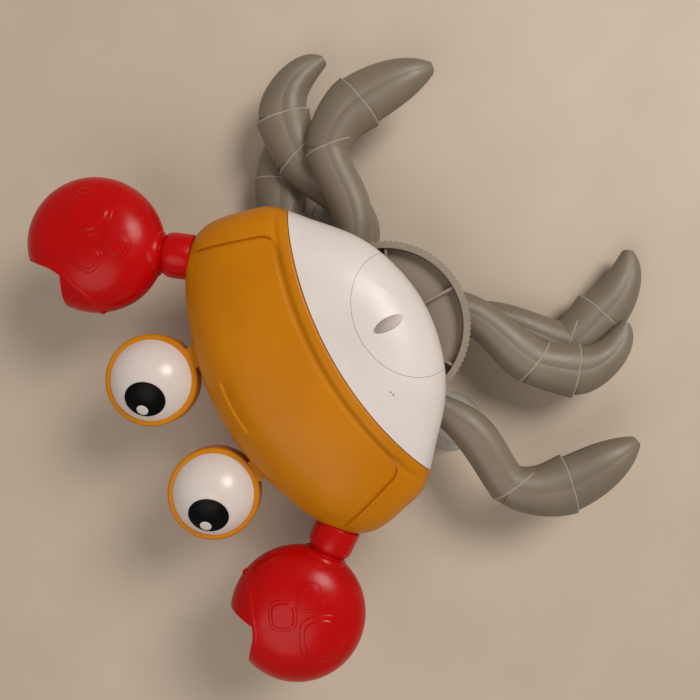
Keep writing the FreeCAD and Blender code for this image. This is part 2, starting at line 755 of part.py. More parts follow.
back = back_solid().cut(back_solid(size("shell_wall")))
tray_floor = disc(size("post_radius") + size("hub_wall"), back_z, back_z + size("shell_wall"))
back = back.fuse(tray_floor)
rear_sockets = [rear_half(wrist_socket(sign)).common(back_solid()) for sign in (1, -1)]
back = back.multiFuse(rear_sockets)
post_hole = disc(size("post_radius") + size("run_gap"), back_z - size("overrun"), parting_z)
back = back.cut(post_hole)
for sign in (1, -1):
    back = back.cut(wrist_room(sign)).cut(tab_room(sign, size("seam_gap")))
    for boss_x, boss_y in (upper_boss, belly_boss):
        back = back.cut(screw_hole(sign * boss_x, boss_y))
keep(feature("back_shell", rear_half(back)))


# Screws: four that hold the front shells to the back shell and one in the post.
def screw(x, y, head_low, length, sign):
    """A pan-head screw; sign is 1 where the shank points to +Z from its head."""
    head = disc(size("screw_head"), 0, size("head_thick"))
    shank = disc(size("screw_radius"), size("head_thick"), size("head_thick") + length)
    solid = head.fuse(shank)
    turned = Placement(Vector(x, y, head_low), Rotation(Vector(1, 0, 0), 0 if sign > 0 else 180))
    solid.Placement = turned
    return solid


screws = []
for sign in (1, -1):
    for boss_x, boss_y in (upper_boss, belly_boss):
        head_low = back_z - size("head_thick")
        screws.append(screw(sign * boss_x, boss_y, head_low, size("screw_length"), 1))
keep(feature("body_screws", Part.makeCompound(screws)))

post_top = back_z + size("shell_wall") + size("layer_gap")
washer_radius = size("screw_head") + size("post_radius")
washer = disc(washer_radius, post_top, post_top + size("head_thick"))
washer = washer.cut(disc(size("screw_radius") + size("run_gap"), 0, apex_z))
keep(feature("post_washer", washer))
top = post_top + 2 * size("head_thick")
keep(feature("post_screw", screw(0, 0, top, size("post_bite"), -1)))

# Eyes: a ring with a floor and a tab, a white dome in it and a black pupil on the dome.
eye_low = parting_z - size("eye_back")
eye_high = parting_z + size("eye_front")
ball_base = size("eye_radius") - size("eye_wall") - size("run_gap")
ball_radius = (ball_base**2 + size("eyeball_rise") ** 2) / (2 * size("eyeball_rise"))


def eye_ring(sign):
    x, y = sign * size("eye_x"), eye_y
    ring = disc(size("eye_radius"), eye_low, eye_high, x, y)
    ring = rounded(ring, size("eye_wall") * RING_ROUND_SHARE, lambda edge: edge.Length > size("eye_radius"))
    room = disc(size("eye_radius") - size("eye_wall"), eye_low + size("eye_floor"), apex_z, x, y)
    return ring.fuse(tab_room(sign, 0)).cut(room)


def ball_solid(sign, grow):
    x, y = sign * size("eye_x"), eye_y
    top_z = eye_high + size("eyeball_rise")
    sphere = Part.makeSphere(ball_radius + grow, Vector(x, y, top_z - ball_radius))
    barrel = disc(ball_base, eye_low + size("eye_floor") + size("run_gap"), above, x, y)
    low = disc(ball_base, eye_low + size("eye_floor") + size("run_gap"), eye_high, x, y)
    return sphere.common(barrel).fuse(low)


def ball_room(sign):
    x, y = sign * size("eye_x"), eye_y
    top_z = eye_high + size("eyeball_rise") - size("eye_wall")
    radius = ball_radius - size("eye_wall") / 2
    sphere = Part.makeSphere(radius, Vector(x, y, top_z - radius))
    return sphere.common(disc(ball_base - size("eye_wall"), eye_low, apex_z, x, y))


def pupil_prism(sign):
    oval = Part.Ellipse(Vector(), size("pupil_long"), size("pupil_short"))
    face = Part.Face(Part.Wire(oval.toShape()))
    turn = math.degrees(math.atan2(size("pupil_x"), -size("pupil_y")))
    face.rotate(Vector(), Vector(0, 0, 1), turn)
    face.translate(Vector(sign * size("eye_x") + size("pupil_x"), eye_y + size("pupil_y"), eye_high))
    return face.extrude(Vector(0, 0, size("eyeball_rise") * 2))


for word, sign in (("left", 1), ("right", -1)):
    keep(feature(f"eye_ring_{word}", eye_ring(sign)))
    ball = ball_solid(sign, 0)
    keep(feature(f"eyeball_{word}", ball.cut(ball_room(sign))))
    cap = ball_solid(sign, size("pupil_rise")).common(pupil_prism(sign)).cut(ball)
    keep(feature(f"pupil_{word}", cap))


# Claws: two hollow halves on a wrist barrel that turns in the shell.
def claw_half(radius, depth, sign, face):
    """Half an oval solid of round sections; face is 1 in front, -1 behind."""
    foot = Vector(sign * claw_x, claw_y, parting_z + face * size("seam_gap") / 2)
    wires = []
    for share in SECTION_SHARES:
        angle = math.radians(90 * share)
        wide = math.cos(angle) ** (2 / size("claw_fullness"))
        centre = foot + Vector(0, 0, face * depth * math.sin(angle))
        wires.append(Part.Wire(Part.makeCircle(radius * wide, centre)))
    return Part.makeLoft(wires, True, False)


# The mouth of the +X claw, in shares of claw_radius from its middle.
MOUTH_SHARES = [(-0.22, 0.56), (0.29, 0.95), (0.55, 1.3), (-0.9, 1.3), (-0.58, 0.79)]
# A place inside the mouth, from which it grows when the wall is taken off the room.
MOUTH_MIDDLE_SHARES = (-0.25, 0.9)


def mouth(sign, grow):
    radius = size("claw_radius")
    points = []
    middle = Vector(*MOUTH_MIDDLE_SHARES, 0) * radius
    for x, y in MOUTH_SHARES:
        point = Vector(x * radius, y * radius, 0)
        point += (point - middle).normalize() * grow
        points.append(Vector(sign * (point.x + claw_x), point.y + claw_y, 0))
    points.append(points[0])
    return Part.Face(Part.makePolygon(points)).extrude(Vector(0, 0, apex_z * 2))


def claw(sign, face):
    wall = size("claw_wall")
    radius, depth = size("claw_radius"), size("claw_depth")
    solid = claw_half(radius, depth, sign, face).cut(mouth(sign, 0))
    room = claw_half(radius - wall, depth - wall, sign, face).cut(mouth(sign, wall))
    room = room.cut(wrist_rod(sign, size("wrist_radius") + wall, size("wrist_start"), 0))
    barrel_end = radius - size("wrist_sink")
    seat = wrist_rod(sign, size("wrist_radius") + size("run_gap"), size("wrist_start"), barrel_end)
    return solid.cut(room).cut(seat)


def wrist(sign):
    barrel_end = size("claw_radius") - size("wrist_sink") + size("run_gap")
    barrel = wrist_rod(sign, size("wrist_radius"), size("wrist_start"), barrel_end)
    neck = wrist_rod(sign, size("neck_radius"), neck_start, size("wrist_start"))
    flange = wrist_rod(sign, size("flange_radius"), flange_start, neck_start)
    return barrel.multiFuse([neck, flange])


for word, sign in (("left", 1), ("right", -1)):
    keep(feature(f"wrist_{word}", wrist(sign)))
    keep(feature(f"claw_front_{word}", claw(sign, 1)))
    keep(feature(f"claw_rear_{word}", claw(sign, -1)))


# Check every object, then write each sub-part to its own file.
doc.recompute()
for item in doc.Objects:
    if "Invalid" in item.State or "Error" in item.State:
        raise RuntimeError(f"{item.Name} failed: {item.State}")
os.makedirs("parts", exist_ok=True)
for node in NODES:
    shape = node.Shape
    if shape.isNull() or not shape.isValid():
        raise RuntimeError(f"{node.Label} has no valid shape")
    shape.exportStep(f"parts/{node.Label}.step")
    print(f"{node.Label}: {len(shape.Solids)} solid(s), {shape.Volume / 1000:.2f} cm3")
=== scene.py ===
# %% [markdown]
# # A crab toy for the bath wall, dressed for its photograph
# The CAD parts give every size and every joint. This lesson gives them the look of the real toy:
# glossy moulded plastics, soft clear cups, and the small raised and sunk details that moulding leaves.
# The scene is in metres, and a size in millimetres is multiplied by MM. X runs across the crab, Y towards
# its eyes and Z towards its face.

import json
import math

import bmesh
import bpy
import numpy as np
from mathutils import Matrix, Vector
from mathutils.bvhtree import BVHTree


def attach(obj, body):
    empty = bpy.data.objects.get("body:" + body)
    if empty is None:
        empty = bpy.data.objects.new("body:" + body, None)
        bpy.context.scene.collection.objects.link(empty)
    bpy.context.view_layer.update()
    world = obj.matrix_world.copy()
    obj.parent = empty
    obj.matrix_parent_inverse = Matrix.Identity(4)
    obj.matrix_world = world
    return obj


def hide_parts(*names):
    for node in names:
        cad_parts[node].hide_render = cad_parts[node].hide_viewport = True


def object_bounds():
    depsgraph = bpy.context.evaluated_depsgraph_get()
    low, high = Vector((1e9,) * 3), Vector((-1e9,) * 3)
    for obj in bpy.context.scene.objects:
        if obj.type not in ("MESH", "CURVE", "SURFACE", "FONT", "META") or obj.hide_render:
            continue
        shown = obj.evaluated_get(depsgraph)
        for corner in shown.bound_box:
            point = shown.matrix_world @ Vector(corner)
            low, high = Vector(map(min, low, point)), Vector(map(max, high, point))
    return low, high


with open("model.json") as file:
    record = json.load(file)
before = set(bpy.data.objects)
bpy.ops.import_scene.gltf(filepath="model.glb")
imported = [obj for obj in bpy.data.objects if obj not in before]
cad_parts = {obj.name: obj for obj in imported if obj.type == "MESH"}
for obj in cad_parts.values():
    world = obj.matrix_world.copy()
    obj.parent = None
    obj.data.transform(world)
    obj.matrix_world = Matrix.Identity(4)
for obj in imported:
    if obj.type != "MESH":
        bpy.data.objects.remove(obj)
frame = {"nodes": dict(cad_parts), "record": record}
nodes = frame["nodes"]
cad_low, cad_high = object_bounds()
MM = 0.001
print("nodes:", len(nodes), "box in mm:", [round((b - a) / MM, 1) for a, b in zip(cad_low, cad_high)])

# %% [markdown]
# ## Camera
# The toy lies on its back on a table and the camera looks straight down at it, a little off its middle.
# The crab's eyes point to the left of the picture and slightly down, so the camera is turned about its
# own axis. A photograph 700 pixels wide with a focal length of 763 pixels is a 39.2 mm lens on a 36 mm
# sensor, and the distance was found from how much smaller the deep pieces look than the near ones.

# %% The camera
CAMERA_SPOT = (-1.9 * MM, 20.2 * MM, 408 * MM)
CAMERA_TURN = -118.7
FOCAL_PX = 763
IMAGE_PX = 700
SENSOR_MM = 36
NEAREST = 0.01

camera_data = bpy.data.cameras.new("camera")
camera_data.sensor_width = SENSOR_MM
camera_data.lens = SENSOR_MM * FOCAL_PX / IMAGE_PX
camera_data.clip_start = NEAREST
camera = bpy.data.objects.new("camera", camera_data)
camera.location = CAMERA_SPOT
camera.rotation_euler = (0, 0, math.radians(CAMERA_TURN))
bpy.context.scene.collection.objects.link(camera)
bpy.context.scene.camera = camera
print("lens:", round(camera_data.lens, 2), "mm")

# %% [markdown]
# ## Colours and nodes
# A colour picked on a screen is sRGB, and Blender's shaders work in linear light, so one function does
# that step for every colour here. A second small function adds any shader node with its settings and
# links, which keeps each material short enough to read as a recipe. Patterns are given a real size:
# in object coordinates one unit is a metre, so a pattern of so many millimetres has a scale of 1000
# over that size.

# %% Colour and node helpers
def colour(code):
    parts = [int(code[i:i + 2], 16) / 255 for i in (1, 3, 5)]
    linear = [c / 12.92 if c <= 0.04045 else ((c + 0.055) / 1.055) ** 2.4 for c in parts]
    return (*linear, 1.0)


def add_node(tree, kind, inputs=None, **settings):
    node = tree.nodes.new(kind)
    for name, value in settings.items():
        setattr(node, name, value)
    for socket, value in (inputs or {}).items():
        if isinstance(value, bpy.types.NodeSocket):
            tree.links.new(value, node.inputs[socket])
        else:
            node.inputs[socket].default_value = value
    return node


def scale_for(millimetres):
    return 1 / (millimetres * MM)


def ramp(tree, factor, *stops):
    node = add_node(tree, "ShaderNodeValToRGB", {"Fac": factor})
    elements = node.color_ramp.elements
    while len(elements) < len(stops):
        elements.new(0.5)
    for element, (place, shade) in zip(elements, stops):
        element.position = place
        element.color = colour(shade)
    return node.outputs["Color"]


print("orange in linear light:", [round(c, 3) for c in colour("#D08A10")[:3]])

# %% [markdown]
# ## Plastics
# Nearly all of the toy is injection moulded. The shells, claws and eyes are ABS, which takes a deep
# even colour and a gloss with a very slight ripple, called orange peel, from the way the melt
# shrinks. The legs and the wheel are polypropylene, which is waxier, so their shine is broad and dull.
# Both pick up the same wear: fine scratches that catch the light, and dust and soap film that dull
# it in patches. One recipe makes all of them, and each plastic gives it its own colours and numbers.

# %% The moulded plastic recipe
FLOW_MM, FILM_MM, HAIR_MM = 35, 12, 4
SPOT_MM, SPECK_SHARE, PATCH_FROM, DIRT = 9, 0.045, 0.56, "#5A5048"
WEAR_FROM, WEAR_TO, SHINIER, DULLER = 0.12, 0.42, 0.04, 0.07
PEEL_HEIGHT = 0.05 * MM
DEPTH_OF_COLOURS, DEPTH_REACH = (1.0, 0.6, 0.35), 1.2 * MM


def moulded_plastic(name, shades, roughness, ripple, grain_mm, specks=0.0, depth=0.0, shine=0.5):
    """A plastic from three close shades, its roughness, and the strength and size of its orange peel."""
    material = bpy.data.materials.new(name)
    material.use_nodes = True
    tree = material.node_tree
    shader = tree.nodes["Principled BSDF"]
    place = add_node(tree, "ShaderNodeTexCoord").outputs["Object"]

    # Slow change of tone, about 35 mm across, as the pigment flows through the mould.
    flow = add_node(tree, "ShaderNodeTexNoise",
                    {"Vector": place, "Scale": scale_for(FLOW_MM), "Detail": 3.0, "Roughness": 0.5})
    tone = ramp(tree, flow.outputs["Fac"], (0.3, shades[0]), (0.5, shades[1]), (0.72, shades[2]))

    # Dirt specks under 1 mm, only where two patterns meet, so they stay few.
    spots = add_node(tree, "ShaderNodeTexVoronoi",
                     {"Vector": place, "Scale": scale_for(SPOT_MM), "Randomness": 1.0})
    speck = add_node(tree, "ShaderNodeMath", {0: spots.outputs["Distance"], 1: SPECK_SHARE},
                     operation="LESS_THAN")
    patch = add_node(tree, "ShaderNodeMath", {0: flow.outputs["Fac"], 1: PATCH_FROM},
                     operation="GREATER_THAN")
    both = add_node(tree, "ShaderNodeMath", {0: speck.outputs[0], 1: patch.outputs[0]},
                    operation="MULTIPLY")
    dirt = add_node(tree, "ShaderNodeMath", {0: both.outputs[0], 1: specks}, operation="MULTIPLY")
    base = add_node(tree, "ShaderNodeMix",
                    {"Factor": dirt.outputs[0], "A": tone, "B": colour(DIRT)}, data_type="RGBA")
    tree.links.new(base.outputs["Result"], shader.inputs["Base Color"])

    # Soap film dulls the gloss in patches, and hair scratches cross it.
    film = add_node(tree, "ShaderNodeTexNoise",
                    {"Vector": place, "Scale": scale_for(FILM_MM), "Detail": 4.0})
    stretched = add_node(tree, "ShaderNodeMapping", {"Vector": place, "Scale": (2.2, 0.5, 1.0),
                                                     "Rotation": (0.0, 0.0, 0.6)})
    hair = add_node(tree, "ShaderNodeTexNoise",
                    {"Vector": stretched.outputs["Vector"], "Scale": scale_for(HAIR_MM), "Detail": 2.0})
    wear = add_node(tree, "ShaderNodeMath", {0: film.outputs["Fac"], 1: hair.outputs["Fac"]},
                    operation="MULTIPLY")
    dull = add_node(tree, "ShaderNodeMapRange",
                    {"Value": wear.outputs[0], "From Min": WEAR_FROM, "From Max": WEAR_TO,
                     "To Min": roughness - SHINIER, "To Max": roughness + DULLER})
    tree.links.new(dull.outputs["Result"], shader.inputs["Roughness"])

    # Orange peel, a ripple of a few hundredths of a millimetre.
    peel = add_node(tree, "ShaderNodeTexNoise",
                    {"Vector": place, "Scale": scale_for(grain_mm), "Detail": 2.0})
    bump = add_node(tree, "ShaderNodeBump",
                    {"Height": peel.outputs["Fac"], "Strength": ripple, "Distance": PEEL_HEIGHT})
    tree.links.new(bump.outputs["Normal"], shader.inputs["Normal"])

    shader.inputs["IOR"].default_value = 1.53
    shader.inputs["Specular IOR Level"].default_value = shine
    shader.inputs["Subsurface Weight"].default_value = depth
    shader.inputs["Subsurface Radius"].default_value = DEPTH_OF_COLOURS
    shader.inputs["Subsurface Scale"].default_value = DEPTH_REACH
    return material


orange_abs = moulded_plastic("moulded_ABS_amber_orange", ("#BE7404", "#C47904", "#C97E05"),
                             0.32, 0.30, 2.2, specks=0.25, depth=0.04, shine=0.14)
white_abs = moulded_plastic("moulded_ABS_warm_white", ("#DAD2CE", "#DED7D3", "#E2DBD7"),
                            0.34, 0.12, 2.5, specks=0.7, depth=0.12, shine=0.36)
red_abs = moulded_plastic("moulded_ABS_signal_red", ("#B40202", "#BA0303", "#C00404"),
                          0.25, 0.15, 2.2, specks=0.15, depth=0.03, shine=0.17)
leg_pp = moulded_plastic("moulded_polypropylene_warm_grey", ("#746959", "#7A6F5E", "#807564"),
                         0.46, 0.6, 1.4, specks=0.5)
wheel_pp = moulded_plastic("moulded_polypropylene_pale_grey", ("#857869", "#8B7E6F", "#918576"),
                           0.46, 0.6, 1.2, specks=0.5)
grey_pp = moulded_plastic("moulded_polypropylene_hidden_grey", ("#A8A29A", "#B0AAA2", "#B6B0A8"),
                          0.46, 0.5, 1.2)
eye_white = moulded_plastic("polished_ABS_eye_white", ("#DACFC8", "#DDD3CD", "#E0D8D2"),
                            0.27, 0.10, 3.0, depth=0.15)
pupil_black = moulded_plastic("glossy_black_enamel", ("#060606", "#080807", "#0C0B0A"),
                              0.30, 0.08, 3.0, shine=0.08)
print("plastics:", len([m for m in bpy.data.materials if m.use_nodes]))

# %% [markdown]
# ## Soft clear vinyl and plated steel
# The suction cups are soft PVC. It is clear, but not as clear as glass: light goes through and is
# scattered a little, and its skin is slightly uneven. Transmission with some roughness gives that.
# The screws are zinc-plated steel, a metal, so the colour sits in the reflection, with fine marks about
# an eighth of a millimetre apart.

# %% The clear vinyl and the steel
def clear_vinyl():
    material = bpy.data.materials.new("soft_PVC_clear")
    material.use_nodes = True
    tree = material.node_tree
    shader = tree.nodes["Principled BSDF"]
    place = add_node(tree, "ShaderNodeTexCoord").outputs["Object"]
    cloud = add_node(tree, "ShaderNodeTexNoise", {"Vector": place, "Scale": scale_for(6), "Detail": 3.0})
    tint = ramp(tree, cloud.outputs["Fac"], (0.3, "#E9E4DA"), (0.7, "#F6F3EE"))
    tree.links.new(tint, shader.inputs["Base Color"])
    haze = add_node(tree, "ShaderNodeMapRange", {"Value": cloud.outputs["Fac"], "To Min": 0.10,
                                                 "To Max": 0.26})
    tree.links.new(haze.outputs["Result"], shader.inputs["Roughness"])
    bump = add_node(tree, "ShaderNodeBump",
                    {"Height": cloud.outputs["Fac"], "Strength": 0.4, "Distance": 0.1 * MM})
    tree.links.new(bump.outputs["Normal"], shader.inputs["Normal"])
    shader.inputs["Transmission Weight"].default_value = 0.6
    shader.inputs["IOR"].default_value = 1.52
    return material


def plated_steel():
    material = bpy.data.materials.new("zinc_plated_steel_turned")
    material.use_nodes = True
    tree = material.node_tree
    shader = tree.nodes["Principled BSDF"]
    place = add_node(tree, "ShaderNodeTexCoord").outputs["Object"]
    lines = add_node(tree, "ShaderNodeTexWave", {"Vector": place, "Scale": scale_for(0.4),
                                                 "Distortion": 2.0}, wave_type="RINGS")
    tone = ramp(tree, lines.outputs["Fac"], (0.2, "#9E9C96"), (0.8, "#C2C0BA"))
    tree.links.new(tone, shader.inputs["Base Color"])
    rough = add_node(tree, "ShaderNodeMapRange", {"Value": lines.outputs["Fac"], "To Min": 0.28,
                                                  "To Max": 0.42})
    tree.links.new(rough.outputs["Result"], shader.inputs["Roughness"])
    shader.inputs["Metallic"].default_value = 1.0
    return material


clear_pvc = clear_vinyl()
steel = plated_steel()
print("vinyl and steel made")

# %% [markdown]
# ## Materials on the CAD parts
# A CAD part whose shape is right only needs its material. The record already says which finish each
# part has, so the slot names lead from one to the other.

# %% Dress the CAD parts
FINISHES = {
    "orange_abs": orange_abs, "white_abs": white_abs, "red_abs": red_abs, "leg_pp": leg_pp,
    "wheel_pp": wheel_pp, "grey_pp": grey_pp, "clear_pvc": clear_pvc, "eye_white": eye_white,
    "pupil_black": pupil_black, "steel": steel,
}
slot_of = {entry["node"]: entry["material_slot"] for entry in frame["record"]["subparts"]}
for name, piece in nodes.items():
    material = FINISHES[slot_of[name]]
    piece.data.materials.clear()
    piece.data.materials.append(material)
print("dressed:", {slot: sum(s == slot for s in slot_of.values()) for slot in FINISHES})

# %% [markdown]
# ## Making a mesh from a sheet of points
# Most of the detail here is a sheet: rows and columns of points that follow a form. This helper joins
# such a sheet into a mesh, smooth shaded, and links it to the scene. Sharp things, such as a bead
# along a rim, need no special tool then: they are only heights in the sheet, and close rows of points
# where the height changes fast. Two small functions go with it: a step with soft ends, and a smooth curve
# from one point to the next.

# %% The sheet helpers
def sheet_mesh(name, rows, material, closed=False):
    shape = bmesh.new()
    made = [[shape.verts.new(point) for point in row] for row in rows]
    for lower, upper in zip(made, made[1:]):
        pairs = list(zip(lower, lower[1:], upper[1:], upper))
        if closed:
            pairs.append((lower[-1], lower[0], upper[0], upper[-1]))
        for corners in pairs:
            shape.faces.new(corners)
    for face in shape.faces:
        face.smooth = True
    bmesh.ops.recalc_face_normals(shape, faces=shape.faces)
    mesh = bpy.data.meshes.new(name)
    shape.to_mesh(mesh)
    shape.free()
    mesh.materials.append(material)
    piece = bpy.data.objects.new(name, mesh)
    bpy.context.scene.collection.objects.link(piece)
    return piece


def smooth_step(low, high, value):
    share = np.clip((value - low) / (high - low), 0, 1)
    return share * share * (3 - 2 * share)


def between(start, end, slope_start, slope_end, step, share):
    """The point at a share of the way along a smooth curve from start to end."""
    square, cube = share ** 2, share ** 3
    return ((2 * cube - 3 * square + 1) * start + (3 * square - 2 * cube) * end
            + step * ((cube - 2 * square + share) * slope_start + (cube - square) * slope_end))


print("sheet helpers ready")

# %% [markdown]
# ## The upper shell and its face panel
# The orange shell is one moulding to the eye: a dome with a rounded bead along its arched edge, broad
# lips at both ends, and a panel sunk about a millimetre between them. On the real part these run into
# each other with soft edges, which a CAD shell with two separate pieces can't show. So one sheet stands
# for both. It is built in polar form round the centre of the arched seam: there the bead is simply a
# band of constant radius, and the columns fan out to the outline. The height of each point is the
# dome's, plus the bead, less the panel and the mouth. A solidify modifier gives it its moulded wall.

# %% The outline and the dome
BODY_HALF, BODY_TOP, BODY_LOW = 80.5, 87.7, 20.3
OUTLINE = [(0, 1), (0.43, 0.943), (0.78, 0.816), (0.946, 0.696), (1, 0.56), (0.968, 0.37), (0.92, 0.235),
           (0.85, 0.165), (0.74, 0.076), (0.535, -0.37), (0.285, -0.83), (0, -1)]
DOME_Y, DOME_HEIGHT, DOME_FULLNESS = 0.376 * BODY_TOP, 24, 4
PARTING = 54.1
ARCH_RADIUS, ARCH_TOP = 164, 29
ARCH_Y = ARCH_TOP - ARCH_RADIUS
POINTS_PER_SPAN = 60


def smooth_loop(points, count):
    """A smooth closed curve through the points, as the one that the CAD outline uses."""
    points = np.array(points, float)
    number = len(points)
    steps = np.linalg.norm(np.roll(points, -1, 0) - points, axis=1)
    matrix, right = np.zeros((number, number)), np.zeros((number, 2))
    for index in range(number):
        before, after = steps[index - 1], steps[index]
        matrix[index, index - 1] = after
        matrix[index, index] = 2 * (before + after)
        matrix[index, (index + 1) % number] = before
        ahead = (points[(index + 1) % number] - points[index]) / after
        behind = (points[index] - points[index - 1]) / before
        right[index] = 3 * (before * ahead + after * behind)
    slopes = np.linalg.solve(matrix, right)
    curve = []
    for index in range(number):
        following = (index + 1) % number
        for share in np.linspace(0, 1, count, endpoint=False):
            curve.append(between(points[index], points[following], slopes[index], slopes[following],
                                 steps[index], share))
    return np.array(curve)


right_side = [(x * BODY_HALF, y * (BODY_TOP if y > 0 else BODY_LOW)) for x, y in OUTLINE]
left_side = [(-x, y) for x, y in right_side[-2:0:-1]]
outline = smooth_loop(right_side + left_side, POINTS_PER_SPAN)
angles = np.arctan2(outline[:, 1] - DOME_Y, outline[:, 0])
order = np.argsort(angles)
outline_angles = angles[order]
outline_reach = np.hypot(outline[:, 0], outline[:, 1] - DOME_Y)[order]


def dome_share(x, y):
    """How far a place is from the dome's centre, as a share of the way to the outline."""
    reach = np.interp(np.arctan2(y - DOME_Y, x), outline_angles, outline_reach, period=2 * math.pi)
    return np.hypot(x, y - DOME_Y) / reach


def dome_height(x, y):
    return PARTING + DOME_HEIGHT * np.sqrt(np.clip(1 - dome_share(x, y) ** DOME_FULLNESS, 0, 1))


print("outline:", len(outline), "points, widest at", round(outline[:, 0].max(), 1), "mm")

# %% [markdown]
# The bead stands a millimetre over the dome. The panel is 1.2 mm deep, with a soft groove along the bead
# and a crisp step at its ends, where the photograph shows a thin dark line that dies out towards the
# eyes. The mouth is a shallow scoop with one steep side, 26 mm long, so its upper lip catches the light.

# %% Heights of the orange shell
BEAD_WIDTH, BEAD_RISE = 4.8, 1.0
GROOVE_DEPTH, GROOVE_AT, GROOVE_WIDTH = 0.7, 6.2, 1.5
PANEL_DEPTH, PANEL_ROUND = 1.2, 9
LINE_DEPTH, LINE_WIDTH = 0.9, 0.45
PANEL_END_X, PANEL_END_Y, PANEL_END_SLOPE, PANEL_END_SCALE = 62.5, 35, 0.32, 0.95
CRISP_STEP, EXTRA_SOFTNESS = 0.7, 2.3
LIP_FROM, LIP_TO, LIP_LOSS = 0.7, 1.2, 0.4
RIM_FROM, FADE_FROM, FADE_TO = 0.965, 0.90, 0.985
MOUTH_HALF, MOUTH_Y, MOUTH_BOW, MOUTH_REACH, MOUTH_DEPTH = 13, 77.6, 1.2, 6.5, 1.1
MOUTH_END, MOUTH_LIP, MOUTH_CURVE = 0.7, 0.5, 1.4


def panel_sink(x, y, beyond):
    """How deep the panel lies at a place that is so far beyond the seam."""
    from_seam = beyond - BEAD_WIDTH
    from_end = (PANEL_END_X + PANEL_END_SLOPE * (y - PANEL_END_Y) - np.abs(x)) * PANEL_END_SCALE
    near_seam = np.clip(PANEL_ROUND - from_seam, 0, None)
    near_end = np.clip(PANEL_ROUND - from_end, 0, None)
    inside = np.where((near_seam > 0) & (near_end > 0), PANEL_ROUND - np.hypot(near_seam, near_end),
                      np.minimum(from_seam, from_end))
    softness = CRISP_STEP + EXTRA_SOFTNESS * smooth_step(-4, 6, from_end - from_seam)
    at_end = smooth_step(-3, 3, from_seam - from_end) * smooth_step(0, 3, from_seam)
    line = LINE_DEPTH * at_end * np.exp(-((inside - LINE_WIDTH) / LINE_WIDTH) ** 2)
    return PANEL_DEPTH * smooth_step(0, 1, inside / softness) + line


def mouth_sink(x, y):
    """How deep the mouth lies at a place."""
    lip_y = MOUTH_Y + MOUTH_BOW * (1 - (x / MOUTH_HALF) ** 2)
    below = lip_y - y
    across = smooth_step(0, MOUTH_END, MOUTH_HALF - np.abs(x))
    lip = smooth_step(0, MOUTH_LIP, below)
    return MOUTH_DEPTH * across * lip * np.clip(1 - below / MOUTH_REACH, 0, 1) ** MOUTH_CURVE


def orange_height(x, y):
    """The dome with the bead and lips raised, and the panel, the mouth and the groove sunk."""
    beyond = np.hypot(x, y - ARCH_Y) - ARCH_RADIUS
    share = dome_share(x, y)
    bead = np.clip(1 - (np.clip(beyond / BEAD_WIDTH, 0, 1) * 2 - 1) ** 4, 0, 1) ** 0.5
    lips = 1 - smooth_step(BEAD_WIDTH * LIP_FROM, BEAD_WIDTH * LIP_TO, beyond) * LIP_LOSS
    raised = BEAD_RISE * np.where(beyond < BEAD_WIDTH / 2, bead, 1) * lips
    rim = 1 - smooth_step(RIM_FROM, 1, share)
    fade = 1 - smooth_step(FADE_FROM, FADE_TO, share)
    along_seam = smooth_step(-6, 4, PANEL_END_X + 3 - np.abs(x))
    groove = GROOVE_DEPTH * along_seam * np.exp(-((beyond - GROOVE_AT) / GROOVE_WIDTH) ** 2)
    sunk = panel_sink(x, y, beyond) + mouth_sink(x, y) + groove
    return dome_height(x, y) + raised * rim - sunk * fade


print("bead top over the dome:", BEAD_RISE, "mm; mouth", 2 * MOUTH_HALF, "mm wide")

# %% [markdown]
# The sheet's columns follow rays from the arch's centre, from the first place inside the outline to the
# last, and they stop at the corners, where the arch meets the outline. Extra columns stand close
# together at the ends of the panel, so the thin line there stays sharp.

# %% The orange shell
RAY_STEPS, CORNER_STEPS, CORNER_FROM, CORNER_TO, SHORTEST = 1800, 1500, 0.3, 0.6, 0.5
COLUMNS, BEAD_ROWS, FIELD_ROWS, LINE_COLUMNS = 290, 24, 84, 40
LINE_WAYS = np.radians([19.3, 21.1])
BEAD_SPAN, FULL_LENGTH, INSET, CROWDING = 9, 15, 0.15, 1.8
EDGE_DROP, UNDER_PARTING, WALL_THICKNESS = 1.0, 0.05, 1.6


def span_inside(way):
    """The first and last distance from the arch's centre at which a ray is inside the outline."""
    radii = np.linspace(ARCH_RADIUS, ARCH_RADIUS + BODY_TOP, RAY_STEPS)
    inside = radii[dome_share(radii * math.sin(way), ARCH_Y + radii * math.cos(way)) < 1]
    return (inside[0], inside[-1]) if len(inside) else (ARCH_RADIUS, ARCH_RADIUS)


tried_ways = np.linspace(CORNER_FROM, CORNER_TO, CORNER_STEPS)
corner_way = max(way for way in tried_ways if np.ptp(span_inside(way)) > SHORTEST)
line_columns = np.linspace(*LINE_WAYS, LINE_COLUMNS)
ways = np.sort(np.concatenate([np.linspace(-corner_way, corner_way, COLUMNS), line_columns, -line_columns]))
bead_steps = np.linspace(0, BEAD_SPAN, BEAD_ROWS)
field_steps = 1 - (1 - np.linspace(0, 1, FIELD_ROWS)[1:]) ** CROWDING
rows = []
for way in ways:
    first, last = span_inside(abs(way))
    length = last - first
    start = bead_steps * min(1, length / FULL_LENGTH)
    field = start[-1] + (length - INSET - start[-1]) * field_steps
    radii = first + INSET + np.concatenate([start, field])
    x, y = radii * math.sin(way), ARCH_Y + radii * math.cos(way)
    heights = orange_height(x, y)
    low_edge = max(heights[0] - BEAD_RISE - EDGE_DROP, PARTING - UNDER_PARTING)
    edge = [(x[0] * MM, y[0] * MM, low_edge * MM)]
    rows.append(edge + [(a * MM, b * MM, c * MM) for a, b, c in zip(x, y, heights)])
orange_shell = sheet_mesh("orange_shell", rows, orange_abs)
wall = orange_shell.modifiers.new("moulded_wall", "SOLIDIFY")
wall.thickness = WALL_THICKNESS * MM
wall.offset = -1
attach(orange_shell, "body")
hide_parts("upper_shell", "face_panel")
